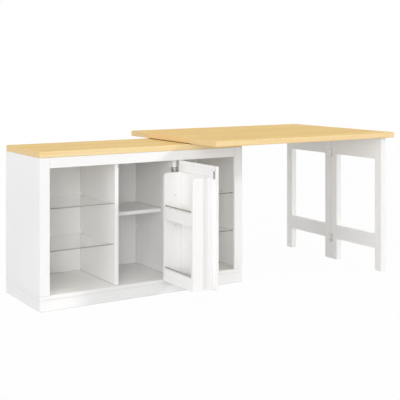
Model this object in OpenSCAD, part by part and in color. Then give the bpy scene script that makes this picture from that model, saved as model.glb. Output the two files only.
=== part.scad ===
// Kitchen island with a sliding table: an open cabinet with a rack door, and a table
// that slides over its worktop and stands on a folding leg frame.
// The origin is on the floor, under the middle of the whole object as it stands at rest.
// X runs along the front from the cabinet to the leg frame, Y from front to back, Z up.

/* [Cabinet] */
// Width of the cabinet along its front
cab_w = 1380; // [1300:5:1420]
// Depth of the cabinet
cab_d = 542; // [480:2:600]
// Height of the worktop's upper face
cab_h = 900; // [860:5:940]
// Thickness of the worktop
worktop_t = 35; // [25:1:45]
// Thickness of the side, back and bottom panels
board_t = 22; // [18:1:25]
// Thickness of the two dividers
divider_t = 24; // [18:1:28]
// Clear width of the middle compartment
centre_w = 374; // [350:2:400]
// Thickness of the stiles and top rails, front and back
face_t = 20; // [19.5:0.5:22]
// Width of each stile
stile_w = 60; // [45:1:80]
// Height of the top rails
rail_h = 60; // [40:1:80]
// Height of the plinth
plinth_h = 65; // [50:1:90]
// Thickness of the plinth boards
plinth_t = 18; // [15:1:22]
// Step of the plinth behind the cabinet's faces
plinth_step = 1; // [0:0.5:4]
// Thickness of the bearers under the worktop
bearer_t = 18; // [12:1:22]
// Width of the bearers under the worktop
bearer_w = 70; // [50:1:90]

/* [Shelves] */
// Thickness of the glass shelves
glass_t = 6; // [5:1:10]
// Gap at each end of a shelf
shelf_gap = 1; // [0.5:0.5:3]
// Set-back of the glass shelves behind the dividers' front edges
glass_setback = 12; // [4:1:60]
// Underside of the lower glass shelves above the bottom board
lower_shelf_z = 239; // [180:1:280]
// Underside of the upper glass shelves above the bottom board
upper_shelf_z = 481; // [420:1:540]
// Thickness of the middle shelf
centre_shelf_t = 22; // [15:1:25]
// Underside of the middle shelf above the bottom board
centre_shelf_z = 382; // [300:1:480]
// Set-back of the middle shelf behind the dividers' front edges
centre_setback = 145; // [140:1:250]
// Diameter of the shelf pins
pin_d = 5; // [4:0.5:7]
// Depth of each shelf pin in its panel
pin_in = 9; // [6:0.5:10]
// Length of each shelf pin under its shelf
pin_out = 9; // [6:0.5:14]
// Distance of the shelf pins from a shelf's front and back edges
pin_inset = 46; // [25:1:90]

/* [Door] */
// Thickness of the door
door_t = 18; // [16:0.5:18.5]
// Gap above and below the door
door_gap = 2; // [1:0.5:4]
// Reach of the closed door past the far face of the divider that it hangs on
door_past = 8; // [2:0.5:12]
// Overlap of the closed door on the other divider's front edge
door_lap = 12; // [11:0.5:20]
// Width of the oval finger slot
slot_w = 22; // [18:1:30]
// Height of the oval finger slot
slot_h = 50; // [40:1:70]
// Centre of the finger slot from the door's free edge
slot_from_edge = 22; // [20:1:26]
// Centre of the finger slot below the door's top edge
slot_from_top = 51; // [40:1:60]

/* [Door rack] */
// Depth of the rack behind the door
rack_d = 130; // [100:1:140]
// Thickness of the rack's side boards
rack_side_t = 18; // [15:1:20]
// Set-back of the rack from the door's free edge
rack_setback = 45; // [42:1:60]
// Gap between the rack and the hinge leaf on the divider, with the door shut
rack_clear = 1.5; // [1:0.5:12]
// Height of the rack's side boards
rack_h = 648; // [600:1:655]
// Underside of the rack above the door's lower edge
rack_lift = 1; // [0.5:0.5:6]
// Radius of the side boards' upper corner
rack_corner_r = 24; // [8:1:40]
// Height of the upper tier above the lower one
tier_z = 370; // [300:1:400]
// Thickness of the rack's back, floors and guard boards
rack_board_t = 12; // [9:1:15]
// Height of the guard boards
guard_h = 74; // [50:1:90]
// Diameter of the guard rods
rod_d = 8; // [5:0.5:10]
// Centre of each guard rod above its guard board
rod_above = 10; // [7:1:40]
// Depth of the rods in the side boards
rod_in = 8; // [5:0.5:12]

/* [Door hinges] */
// Height of each door hinge
door_hinge_h = 50; // [40:1:58]
// Centre of each hinge from the door's nearer end
door_hinge_from_end = 66; // [30:1:90]
// Thickness of the hinge leaves
leaf_t = 1.5; // [1:0.1:1.5]
// Radius of the hinge knuckles
knuckle_r = 4; // [3.5:0.1:5]
// Diameter of the hinge pins
hinge_pin_d = 4; // [3:0.1:4.5]
// Gap between the door's leaf and its knuckles
knuckle_gap = 2; // [1:0.1:3]
// Hinge axis behind the cabinet's front face
hinge_axis_y = 7.5; // [6.5:0.1:8.5]
// Reach of the frame leaf along the divider's side
wrap_w = 20; // [18:1:60]
// Diameter of the screw holes in all hinge leaves
leaf_hole_d = 3.6; // [3:0.1:4.5]
// Diameter of the countersinks of those holes
sink_d = 6.5; // [5:0.1:8]

/* [Table] */
// Length of the table top
table_l = 1438; // [1400:2:1500]
// Width of the table top
table_w = 1080; // [1000:2:1160]
// Thickness of the table top
table_t = 35; // [30:1:45]
// Running gap between worktop and table top
table_gap = 3; // [2.5:0.1:5]
// Overlap of the table over the worktop at rest
table_overlap = 395; // [380:1:420]
// Overhang of the table in front of the cabinet
table_front = 303; // [250:1:320]
// Radius of the corners of worktop and table top
corner_r = 8; // [3:1:20]

/* [Leg frame] */
// Width of each leg along the frame
leg_w = 62; // [50:1:75]
// Thickness of each leg
leg_t = 42; // [35:1:50]
// Thickness of the aprons and stretchers
frame_rail_t = 22; // [18:1:30]
// Height of the aprons
apron_h = 147; // [110:1:170]
// Height of the stretchers
stretcher_h = 96; // [70:1:110]
// Underside of the stretchers above the floor
stretcher_z = 150; // [130:1:200]
// Table overhang past the leg frame at its end
end_overhang = 57; // [55:1:90]
// Table overhang past the leg frame at front and back
side_overhang = 26; // [10:1:60]
// Gap between the two halves of the leg frame
seam = 2; // [1.5:0.5:4]
// Gap between the swinging half and the table top
gate_top_gap = 1.5; // [1:0.5:4]
// Height of each hinge of the leg frame
frame_hinge_h = 58; // [45:1:70]
// Width of each leaf of the leg frame's hinges
frame_leaf_w = 22; // [15:1:30]
// Centre of the lower hinge above the floor
frame_hinge_low_z = 151; // [110:1:200]
// Centre of the upper hinge below the table top
frame_hinge_top_z = 140; // [100:1:200]
// Diameter of the glides under the legs
glide_d = 30; // [20:1:34]
// Thickness of the glides under the legs
glide_t = 3; // [2:0.5:6]

/* [Table guide] */
// Outer width of each guide channel
channel_w = 20; // [18:0.5:30]
// Outer height of each guide channel
channel_h = 12; // [10:0.5:16]
// Wall thickness of the guide channels
channel_wall = 1.5; // [1:0.1:2]
// Width of the slot along each guide channel
channel_slot = 9; // [7.5:0.5:10]
// Diameter of the guide studs
stud_d = 6; // [5:0.5:6.5]
// Diameter of the guide studs' heads
stud_head_d = 14; // [12:0.5:14.5]
// Thickness of the guide studs' heads
stud_head_t = 3; // [2:0.5:4]
// Depth of the guide studs in the worktop
stud_in = 20; // [15:1:22]
// First row of guide studs from the cabinet's right end
stud_row_near = 40; // [30:1:60]
// Second row of guide studs from the cabinet's right end
stud_row_far = 320; // [250:1:330]
// Distance between the middles of the two guide channels
channel_spacing = 360; // [240:2:400]
// Width of the glide strips between worktop and table
strip_w = 20; // [15:1:30]

/* [Hidden] */
$fn = 48;
// Small chamfer on the edges of painted boards
arris = 1.5;
// Chamfer on the edges of the glass shelves
glass_arris = 1;
// Chamfer on the edges of worktop and table top
top_arris = 2;
// Overrun of every cut past the face that it opens
cut = 1;
// Radial clearance of pins, rods and studs in their holes
fit = 0.05;
// Gap between neighbouring knuckles of one hinge
knuckle_z_gap = 0.5;
// Distance between a rubbing piece and what it slides under
rub_gap = 0.3;
// Angle through which the door stands open at rest
door_rest_angle = 90;
// Depth of the countersinks in a leaf, and places of the screws along a hinge and across a leaf
sink_share = 0.8;
outer_screw_share = 0.34;
across_leaf_share = 0.62;
// Wall thickness, reach and width of the leg frame's brackets
bracket_t = 2.5;
bracket_leg = 40;
bracket_w = 36;
// Screw hole of the brackets
bracket_hole_d = 5;
// Push-in magnet of the door: diameter, length, and drop of its middle below the top rail
stub_d = 8;
stub_l = 14;
stub_drop = 20;
// Its keeper disc on the door: diameter and thickness
disc_d = 9;
disc_t = 1;
// Magnet block of the leg frame: thickness off its apron, depth and height
magnet_t = 12;
magnet_d = 24;
magnet_h = 17;
// Thickness of its keeper plate
keeper_t = 1.5;
// Air between a magnet and its keeper
magnet_gap = 0.5;
// Gate magnet's distance from the outer leg
gate_magnet_inset = 60;
// Clearance of a guide stud's head above its channel's lips
head_lift = 2.5;
// Length of a channel stop and its distance from the stud's head
stop_l = 7;
stop_clear = 1;
// Clearance between the folded leg frame and the cabinet with the table pushed in
park_clear = 8;
// Clearance between the leg frame's knuckles and the legs' face, and the axis's place off that face
knuckle_clear = 0.5;
axis_off = knuckle_r + knuckle_clear;

// Heights in the cabinet
deck_z = plinth_h + board_t;
under_top_z = cab_h - worktop_t;
rail_z = under_top_z - rail_h;
carcass_h = under_top_z - deck_z;
back_y = cab_d - face_t - board_t;

// Places of the dividers along X
div_l_x0 = (cab_w - centre_w) / 2 - divider_t;
div_l_x1 = div_l_x0 + divider_t;
div_r_x0 = div_l_x1 + centre_w;
div_r_x1 = div_r_x0 + divider_t;

// The shut door
door_x0 = div_l_x1 - door_lap;
door_x1 = div_r_x1 + door_past;
door_z0 = deck_z + door_gap;
door_z1 = rail_z - door_gap;
axis_x = door_x1 + leaf_t + knuckle_gap + knuckle_r;
door_hinge_z = [door_z0 + door_hinge_from_end, door_z1 - door_hinge_from_end];

// The rack on the shut door
rack_x0 = door_x0 + rack_setback;
rack_x1 = div_r_x0 - leaf_t - rack_clear;
rack_z0 = door_z0 + rack_lift;
rack_y1 = door_t + rack_d;
tier_floors = [rack_z0, rack_z0 + tier_z];

// The table
table_x0 = cab_w - table_overlap;
table_x1 = table_x0 + table_l;
table_y0 = -table_front;
table_y1 = table_y0 + table_w;
table_z0 = cab_h + table_gap;

// The leg frame
leg_x0 = table_x1 - end_overhang - leg_t;
leg_y0 = table_y0 + side_overhang;
leg_y1 = table_y1 - side_overhang;
seam_y = (leg_y0 + leg_y1) / 2;
frame_hinge_z = [frame_hinge_low_z, table_z0 - frame_hinge_top_z];
frame_axis_x = leg_x0 - axis_off;
travel = leg_x0 - 2 * axis_off - leg_t - cab_w - park_clear;

// The guide
stud_x = [cab_w - stud_row_far, cab_w - stud_row_near];
stud_y = [(cab_d - channel_spacing) / 2, (cab_d + channel_spacing) / 2];
channel_end = stud_head_d / 2 + stop_clear + stop_l;
channel_x0 = stud_x[0] - channel_end;
channel_x1 = stud_x[1] + travel + channel_end;
strip_t = table_gap - rub_gap;

// The whole object's middle at rest, which is where the origin lies
mid_x = table_x1 / 2;
mid_y = (hinge_axis_y - (axis_x - door_x0) + table_y1) / 2;

// Colours as the eye sees them
paint = [0.97, 0.97, 0.96];
oak = [0.93, 0.78, 0.5];
glass = [0.75, 0.85, 0.83];
steel = [0.6, 0.6, 0.6];
nylon = [0.85, 0.85, 0.82];

// The frames in which the pieces are drawn: the cabinet's front left foot on the floor is zero
module in_cabinet() translate([-mid_x, -mid_y, 0]) children();

// Pieces of the door are drawn with the door shut, and turned to its place at rest
module in_door() in_cabinet()
    translate([axis_x, hinge_axis_y, 0]) rotate([0, 0, door_rest_angle])
        translate([-axis_x, -hinge_axis_y, 0]) children();

// A rectangle with chamfered corners
module chamfered_rect(a, b, c) {
    polygon([[c, 0], [a - c, 0], [a, c], [a, b - c], [a - c, b], [c, b], [0, b - c], [0, c]]);
}

// A board whose twelve edges carry a small chamfer
module board(size, c = arris) {
    intersection() {
        linear_extrude(size.z) chamfered_rect(size.x, size.y, c);
        translate([0, size.y, 0]) rotate([90, 0, 0])
            linear_extrude(size.y) chamfered_rect(size.x, size.z, c);
        rotate([90, 0, 90]) linear_extrude(size.x) chamfered_rect(size.y, size.z, c);
    }
}

// A rectangle with round corners
module round_rect(a, b, r) {
    translate([r, 0]) square([a - 2 * r, b]);
    translate([0, r]) square([a, b - 2 * r]);
    for (x = [r, a - r], y = [r, b - r]) translate([x, y]) circle(r);
}

// A top with round corners in plan and chamfered upper and lower edges
module top_slab(size) {
    intersection() {
        board(size, top_arris);
        linear_extrude(size.z) round_rect(size.x, size.y, corner_r);
    }
}

// A cylinder along X, from x = 0 to x = l
module rod_x(d, l) rotate([0, 90, 0]) cylinder(d = d, h = l);

// Centres of the pins that carry one shelf, front and back
function pin_ys(y0) = [y0 + pin_inset, back_y - pin_inset];

// Every shelf as its two walls, its front edge and its underside
glass_y0 = face_t + glass_setback;
centre_y0 = face_t + centre_setback;
shelf_rows = [
    [board_t, div_l_x0, glass_y0, deck_z + lower_shelf_z],
    [board_t, div_l_x0, glass_y0, deck_z + upper_shelf_z],
    [div_r_x1, cab_w - board_t, glass_y0, deck_z + lower_shelf_z],
    [div_r_x1, cab_w - board_t, glass_y0, deck_z + upper_shelf_z],
    [div_l_x1, div_r_x0, centre_y0, deck_z + centre_shelf_z]
];

// Pins of one shelf, of diameter d: half of each is in its panel, and half under the shelf
module pins_of(row, d) {
    for (x = [row[0] - pin_in, row[1] - pin_out], y = pin_ys(row[2]))
        translate([x, y, row[3] - pin_d / 2]) rod_x(d, pin_in + pin_out);
}

// Holes for the pins of every shelf that ends at a panel which lies between x0 and x1
module pin_holes(x0, x1) {
    for (row = shelf_rows)
        if (abs(row[0] - x1) < fit || abs(row[1] - x0) < fit) pins_of(row, pin_d + 2 * fit);
}

// Plinth
module plinth_front() color(paint) in_cabinet() {
    translate([plinth_step, plinth_step, 0]) board([cab_w - 2 * plinth_step, plinth_t, plinth_h]);
}

module plinth_back() color(paint) in_cabinet() {
    translate([plinth_step, cab_d - plinth_step - plinth_t, 0])
        board([cab_w - 2 * plinth_step, plinth_t, plinth_h]);
}

// The two ends of the plinth, and a cross board under each divider
module plinth_cross_boards() color(paint) in_cabinet() {
    y0 = plinth_step + plinth_t;
    places = [
        plinth_step,
        div_l_x0 + (divider_t - plinth_t) / 2,
        div_r_x0 + (divider_t - plinth_t) / 2,
        cab_w - plinth_step - plinth_t
    ];
    for (x = places) translate([x, y0, 0]) board([plinth_t, cab_d - 2 * y0, plinth_h]);
}

// Carcass
module bottom_board() color(paint) in_cabinet() {
    translate([0, 0, plinth_h]) board([cab_w, cab_d, board_t]);
}

module side_panel(x) in_cabinet() {
    difference() {
        translate([x, face_t, deck_z]) board([board_t, cab_d - 2 * face_t, carcass_h]);
        pin_holes(x, x + board_t);
    }
}

module side_panel_left() color(paint) side_panel(0);

module side_panel_right() color(paint) side_panel(cab_w - board_t);

// A stile and a rail of the face frames: y is the frame's front face
module stile(x, y) in_cabinet() translate([x, y, deck_z]) board([stile_w, face_t, carcass_h]);

module rail(y) in_cabinet() translate([stile_w, y, rail_z]) board([cab_w - 2 * stile_w, face_t, rail_h]);

module stile_left() color(paint) stile(0, 0);

module stile_right() color(paint) stile(cab_w - stile_w, 0);

module top_rail() color(paint) rail(0);

module rear_stile_left() color(paint) stile(0, cab_d - face_t);

module rear_stile_right() color(paint) stile(cab_w - stile_w, cab_d - face_t);

module rear_rail() color(paint) rail(cab_d - face_t);

module divider(x) in_cabinet() {
    difference() {
        translate([x, face_t, deck_z]) board([divider_t, back_y - face_t, carcass_h]);
        pin_holes(x, x + divider_t);
    }
}

module divider_left() color(paint) difference() {
    divider(div_l_x0);
    in_cabinet() at_door_catch() translate([0, 0, face_t - cut])
        cylinder(d = stub_d + 2 * fit, h = stub_y + stub_l - face_t + cut);
}

module divider_right() color(paint) divider(div_r_x0);

module back_panel() color(paint) in_cabinet() {
    translate([board_t, back_y, deck_z]) board([cab_w - 2 * board_t, board_t, carcass_h]);
}

// Flat bearers at the front and back of each compartment, which the worktop is screwed to
module top_bearers() color(paint) in_cabinet() {
    bays = [[board_t, div_l_x0], [div_l_x1, div_r_x0], [div_r_x1, cab_w - board_t]];
    for (bay = bays, y = [face_t, back_y - bearer_w])
        translate([bay[0], y, under_top_z - bearer_t]) board([bay[1] - bay[0], bearer_w, bearer_t]);
}

module worktop() color(oak) in_cabinet() {
    difference() {
        translate([0, 0, under_top_z]) top_slab([cab_w, cab_d, worktop_t]);
        for (x = stud_x, y = stud_y) translate([x, y, cab_h - stud_in])
            cylinder(d = stud_d + 2 * fit, h = stud_in + cut);
    }
}

// Shelves
module glass_shelf(row) in_cabinet() {
    translate([row[0] + shelf_gap, row[2], row[3]])
        board([row[1] - row[0] - 2 * shelf_gap, back_y - shelf_gap - row[2], glass_t], glass_arris);
}

module glass_shelf_left_lower() color(glass) glass_shelf(shelf_rows[0]);

module glass_shelf_left_upper() color(glass) glass_shelf(shelf_rows[1]);

module glass_shelf_right_lower() color(glass) glass_shelf(shelf_rows[2]);

module glass_shelf_right_upper() color(glass) glass_shelf(shelf_rows[3]);

module centre_shelf() color(paint) in_cabinet() {
    translate([div_l_x1 + shelf_gap, centre_y0, deck_z + centre_shelf_z])
        board([centre_w - 2 * shelf_gap, back_y - shelf_gap - centre_y0, centre_shelf_t]);
}

module shelf_pins() color(steel) in_cabinet() {
    for (row = shelf_rows) pins_of(row, pin_d);
}

// Knuckles of a hinge stand on its axis. A hinge has three: the middle one belongs to the
// moving leaf, and the outer two to the fixed leaf.
function knuckle_h(h) = (h - 2 * knuckle_z_gap) / 3;
function outer_knuckles(h) = [-h / 2, h / 2 - knuckle_h(h)];
function middle_knuckle(h) = [-knuckle_h(h) / 2];

// Countersunk screw hole in a leaf whose outer face is z = 0 and which lies below it
module screw_hole() {
    sink = sink_share * leaf_t;
    translate([0, 0, -leaf_t - cut]) cylinder(d = leaf_hole_d, h = leaf_t + cut);
    translate([0, 0, -sink]) cylinder(d1 = leaf_hole_d, d2 = 2 * sink_d - leaf_hole_d, h = 2 * sink);
}

// Heights of a leaf's screws above its middle: two outer ones, or these and a middle one
function outer_screws(h) = [-outer_screw_share * h, outer_screw_share * h];
function three_screws(h) = [-outer_screw_share * h, 0, outer_screw_share * h];

// One leaf. Its first child is the outline of its plate, at full height, its second the outline
// of its web, beside the knuckles only, and its third is what is cut from it
module leaf(h, starts) {
    difference() {
        union() {
            translate([0, 0, -h / 2]) linear_extrude(h) children(0);
            for (z = starts) translate([0, 0, z]) {
                cylinder(r = knuckle_r, h = knuckle_h(h));
                linear_extrude(knuckle_h(h)) children(1);
            }
        }
        translate([0, 0, -h / 2 - cut]) cylinder(d = hinge_pin_d + 2 * fit, h = h + 2 * cut);
        children(2);
    }
}

module hinge_pin(h) translate([0, 0, -h / 2]) cylinder(d = hinge_pin_d, h = h);

// Fixed leaves of the door hinges: each lies on the front edge of the divider, wraps round
// its inner side, and is cranked forward to the axis beside the door
module door_hinge_frame_leaves() color(steel) in_cabinet() {
    front_y = face_t - hinge_axis_y;
    wrap_x = div_r_x0 - leaf_t - axis_x;
    for (z = door_hinge_z) translate([axis_x, hinge_axis_y, z])
        leaf(door_hinge_h, outer_knuckles(door_hinge_h)) {
            translate([wrap_x, front_y - leaf_t]) {
                square([leaf_t / 2 - wrap_x, leaf_t]);
                square([leaf_t, leaf_t + wrap_w]);
            }
            translate([-leaf_t / 2, 0]) square([leaf_t, front_y]);
            for (screw_z = outer_screws(door_hinge_h)) {
                translate([wrap_x + leaf_t + divider_t / 2, front_y - leaf_t, screw_z])
                    rotate([90, 0, 0]) screw_hole();
                translate([wrap_x, front_y + across_leaf_share * wrap_w, screw_z])
                    rotate([0, -90, 0]) screw_hole();
            }
        }
}

module door_hinge_pins() color(steel) in_cabinet() {
    for (z = door_hinge_z) translate([axis_x, hinge_axis_y, z]) hinge_pin(door_hinge_h);
}

// Moving leaves of the door hinges: a plate on the door's edge and a web to the axis
module door_hinge_door_leaves() color(steel) in_door() {
    edge_x = door_x1 - axis_x;
    for (z = door_hinge_z) translate([axis_x, hinge_axis_y, z])
        leaf(door_hinge_h, middle_knuckle(door_hinge_h)) {
            translate([edge_x, leaf_t - hinge_axis_y]) square([leaf_t, door_t - 2 * leaf_t]);
            translate([edge_x, -leaf_t / 2]) square([-edge_x, leaf_t]);
            for (screw_z = outer_screws(door_hinge_h))
                translate([edge_x + leaf_t, door_t / 2 - hinge_axis_y, screw_z])
                    rotate([0, 90, 0]) screw_hole();
        }
}

// Magnet that holds the door shut, in the front edge of the divider beside the door's free edge
stub_y = door_t + disc_t + magnet_gap;
module at_door_catch()
    translate([div_l_x1 - door_lap / 2, 0, rail_z - stub_drop]) rotate([-90, 0, 0]) children();

module door_catch() color(nylon) in_cabinet() at_door_catch()
    translate([0, 0, stub_y]) cylinder(d = stub_d, h = stub_l);

module door_catch_plate() color(steel) in_door() at_door_catch()
    translate([0, 0, door_t]) cylinder(d = disc_d, h = disc_t);

// Table guide on the cabinet
module glide_strips() color(nylon) in_cabinet() {
    y0 = stud_y[0] - channel_w;
    y1 = stud_y[1] + channel_w;
    for (x = stud_x) translate([x - channel_w - strip_w, y0, cab_h]) cube([strip_w, y1 - y0, strip_t]);
}

module guide_studs() color(steel) in_cabinet() {
    head_z = table_z0 + channel_wall + head_lift;
    for (x = stud_x, y = stud_y) translate([x, y, 0]) {
        translate([0, 0, cab_h - stud_in]) cylinder(d = stud_d, h = head_z + stud_head_t - cab_h + stud_in);
        translate([0, 0, head_z]) cylinder(d = stud_head_d, h = stud_head_t);
    }
}

// Door
module door_panel() color(paint) in_door() {
    slot_x = door_x0 + slot_from_edge;
    slot_z = door_z1 - slot_from_top;
    half = (slot_h - slot_w) / 2;
    difference() {
        translate([door_x0, 0, door_z0]) board([door_x1 - door_x0, door_t, door_z1 - door_z0]);
        translate([slot_x, -cut, slot_z]) {
            for (z = [-half, half]) translate([0, 0, z]) rotate([-90, 0, 0])
                cylinder(d = slot_w, h = door_t + 2 * cut);
            translate([-slot_w / 2, 0, -half]) cube([slot_w, door_t + 2 * cut, 2 * half]);
        }
    }
}

// Outline of a rack side in depth and height, with its upper outer corner rounded
module rack_side_outline() {
    square([rack_d, rack_h - rack_corner_r]);
    square([rack_d - rack_corner_r, rack_h]);
    translate([rack_d - rack_corner_r, rack_h - rack_corner_r]) circle(rack_corner_r);
}

module rack_side(x) {
    translate([x, door_t, rack_z0]) rotate([90, 0, 90]) linear_extrude(rack_side_t) rack_side_outline();
}

// Places of the rods in depth and height
rod_y = rack_y1 - rack_board_t / 2;
function rod_z(floor_z) = floor_z + guard_h + rod_above;

module rod_holes(x, l) {
    for (z = tier_floors) translate([x, rod_y, rod_z(z)]) rod_x(rod_d + 2 * fit, l);
}

module rack_side_near() color(paint) in_door() {
    inner_x = rack_x0 + rack_side_t;
    difference() {
        rack_side(rack_x0);
        rod_holes(inner_x - rod_in, rod_in + cut);
    }
}

module rack_side_far() color(paint) in_door() {
    inner_x = rack_x1 - rack_side_t;
    difference() {
        rack_side(inner_x);
        rod_holes(inner_x - cut, rod_in + cut);
    }
}

inner_rack_x = rack_x0 + rack_side_t;
inner_rack_w = rack_x1 - rack_x0 - 2 * rack_side_t;

module rack_back() color(paint) in_door() {
    translate([inner_rack_x, door_t, rack_z0]) board([inner_rack_w, rack_board_t, rack_h]);
}

module rack_floor(z) in_door() {
    translate([inner_rack_x, door_t + rack_board_t, z])
        board([inner_rack_w, rack_d - 2 * rack_board_t, rack_board_t]);
}

module rack_floor_lower() color(paint) rack_floor(tier_floors[0]);

module rack_floor_upper() color(paint) rack_floor(tier_floors[1]);

module rack_guard(z) in_door() {
    translate([inner_rack_x, rack_y1 - rack_board_t, z]) board([inner_rack_w, rack_board_t, guard_h]);
}

module rack_guard_lower() color(paint) rack_guard(tier_floors[0]);

module rack_guard_upper() color(paint) rack_guard(tier_floors[1]);

module rack_rods() color(steel) in_door() {
    for (z = tier_floors) translate([inner_rack_x - rod_in, rod_y, rod_z(z)])
        rod_x(rod_d, inner_rack_w + 2 * rod_in);
}

// Table
module table_top() color(oak) in_cabinet() {
    difference() {
        translate([table_x0, table_y0, table_z0]) top_slab([table_l, table_w, table_t]);
        for (y = stud_y) translate([channel_x0, y - channel_w / 2, table_z0 - cut])
            cube([channel_x1 - channel_x0, channel_w, channel_h + cut]);
    }
}

// Each channel is let into the underside of the table, with its slot downwards
module channel_profile() {
    lip_w = (channel_w - channel_slot) / 2;
    difference() {
        translate([-channel_w / 2, 0]) square([channel_w, channel_h]);
        translate([channel_wall - channel_w / 2, channel_wall])
            square([channel_w - 2 * channel_wall, channel_h - 2 * channel_wall]);
        translate([lip_w - channel_w / 2, -cut]) square([channel_slot, channel_wall + 2 * cut]);
    }
}

module guide_channels() color([0.75, 0.76, 0.78]) in_cabinet() {
    for (y = stud_y) translate([channel_x0, y, table_z0]) rotate([90, 0, 90])
        linear_extrude(channel_x1 - channel_x0) channel_profile();
}

// A stop fills each end of each channel
module channel_stops() color(nylon) in_cabinet() {
    w = channel_w - 2 * channel_wall;
    h = channel_h - 2 * channel_wall;
    for (x = [channel_x0, channel_x1 - stop_l], y = stud_y)
        translate([x, y - w / 2, table_z0 + channel_wall]) cube([stop_l, w, h]);
}

// Leg frame: a leg stands on its glide and reaches up to top_z
module leg(y, top_z) {
    translate([leg_x0, y, glide_t]) board([leg_t, leg_w, top_z - glide_t]);
}

// Recesses of the hinge leaves in an inner leg: side is 1 behind the seam and -1 in front
module leaf_recesses(side) {
    y = side > 0 ? seam_y + seam / 2 - cut : seam_y - seam / 2 - frame_leaf_w;
    for (z = frame_hinge_z) translate([leg_x0 - cut, y, z - frame_hinge_h / 2])
        cube([leaf_t + cut, frame_leaf_w + cut, frame_hinge_h]);
}

module cross_rail(y0, y1, z0, h) {
    translate([leg_x0, y0, z0]) board([frame_rail_t, y1 - y0, h]);
}

fixed_y0 = seam_y + seam / 2;
gate_y1 = seam_y - seam / 2;
gate_z1 = table_z0 - gate_top_gap;

module fixed_leg_outer() color(paint) in_cabinet() leg(leg_y1 - leg_w, table_z0);

module fixed_leg_inner() color(paint) in_cabinet() difference() {
    leg(fixed_y0, table_z0);
    leaf_recesses(1);
}

module fixed_apron() color(paint) in_cabinet() {
    cross_rail(fixed_y0 + leg_w, leg_y1 - leg_w, table_z0 - apron_h, apron_h);
}

module fixed_stretcher() color(paint) in_cabinet() {
    cross_rail(fixed_y0 + leg_w, leg_y1 - leg_w, stretcher_z, stretcher_h);
}

module gate_leg_outer() color(paint) in_cabinet() leg(leg_y0, gate_z1);

module gate_leg_inner() color(paint) in_cabinet() difference() {
    leg(gate_y1 - leg_w, gate_z1);
    leaf_recesses(-1);
}

module gate_apron() color(paint) in_cabinet() {
    cross_rail(leg_y0 + leg_w, gate_y1 - leg_w, table_z0 - apron_h, gate_z1 - table_z0 + apron_h);
}

module gate_stretcher() color(paint) in_cabinet() {
    cross_rail(leg_y0 + leg_w, gate_y1 - leg_w, stretcher_z, stretcher_h);
}

// Glides: low cones under the middles of two legs
module glides(ys) {
    for (y = ys) translate([leg_x0 + leg_t / 2, y, 0])
        cylinder(d1 = glide_d - glide_t, d2 = glide_d, h = glide_t);
}

module fixed_leg_glides() color(nylon) in_cabinet() glides([fixed_y0 + leg_w / 2, leg_y1 - leg_w / 2]);

module gate_leg_glides() color(nylon) in_cabinet() glides([leg_y0 + leg_w / 2, gate_y1 - leg_w / 2]);

// Leaves of the leg frame's hinges lie in the legs' faces, and their webs stand out to the axis
module frame_leaf(side, starts) {
    mirror([0, 1 - side, 0]) leaf(frame_hinge_h, starts) {
        translate([axis_off, seam / 2]) square([leaf_t, frame_leaf_w]);
        translate([0, seam / 2]) square([axis_off + leaf_t, leaf_t]);
        for (screw_z = three_screws(frame_hinge_h))
            translate([axis_off, seam / 2 + across_leaf_share * frame_leaf_w, screw_z])
                rotate([0, -90, 0]) screw_hole();
    }
}

module frame_hinge_fixed_leaves() color(steel) in_cabinet() {
    for (z = frame_hinge_z) translate([frame_axis_x, seam_y, z])
        frame_leaf(1, outer_knuckles(frame_hinge_h));
}

module frame_hinge_gate_leaves() color(steel) in_cabinet() {
    for (z = frame_hinge_z) translate([frame_axis_x, seam_y, z])
        frame_leaf(-1, middle_knuckle(frame_hinge_h));
}

module frame_hinge_pins() color(steel) in_cabinet() {
    for (z = frame_hinge_z) translate([frame_axis_x, seam_y, z]) hinge_pin(frame_hinge_h);
}

// Angle brackets join the fixed half of the leg frame to the table top, on its outer face
module bracket() {
    rotate([90, 0, 0]) translate([0, 0, -bracket_w / 2]) difference() {
        linear_extrude(bracket_w) {
            translate([0, -bracket_leg]) square([bracket_t, bracket_leg]);
            translate([0, -bracket_t]) square([bracket_leg, bracket_t]);
        }
        translate([bracket_leg / 2, cut, bracket_w / 2]) rotate([90, 0, 0])
            cylinder(d = bracket_hole_d, h = bracket_t + 2 * cut);
        translate([-cut, -bracket_leg / 2, bracket_w / 2]) rod_x(bracket_hole_d, bracket_t + 2 * cut);
    }
}

module frame_brackets() color(steel) in_cabinet() {
    rail_x = leg_x0 + frame_rail_t;
    rail_y0 = fixed_y0 + leg_w;
    rail_y1 = leg_y1 - leg_w;
    for (y = [rail_y0 + bracket_w, (rail_y0 + rail_y1) / 2, rail_y1 - bracket_w])
        translate([rail_x, y, table_z0]) bracket();
}

// Magnet under the table that holds the swinging half square, and its keeper on the apron
gate_magnet_y = leg_y0 + leg_w + gate_magnet_inset;
module gate_catch() color(nylon) in_cabinet() {
    translate([leg_x0 + frame_rail_t + keeper_t + magnet_gap, gate_magnet_y, table_z0 - magnet_h])
        board([magnet_t, magnet_d, magnet_h]);
}

module gate_catch_plate() color(steel) in_cabinet() {
    translate([leg_x0 + frame_rail_t, gate_magnet_y, gate_z1 - magnet_h])
        cube([keeper_t, magnet_d, magnet_h - arris]);
}

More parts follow.
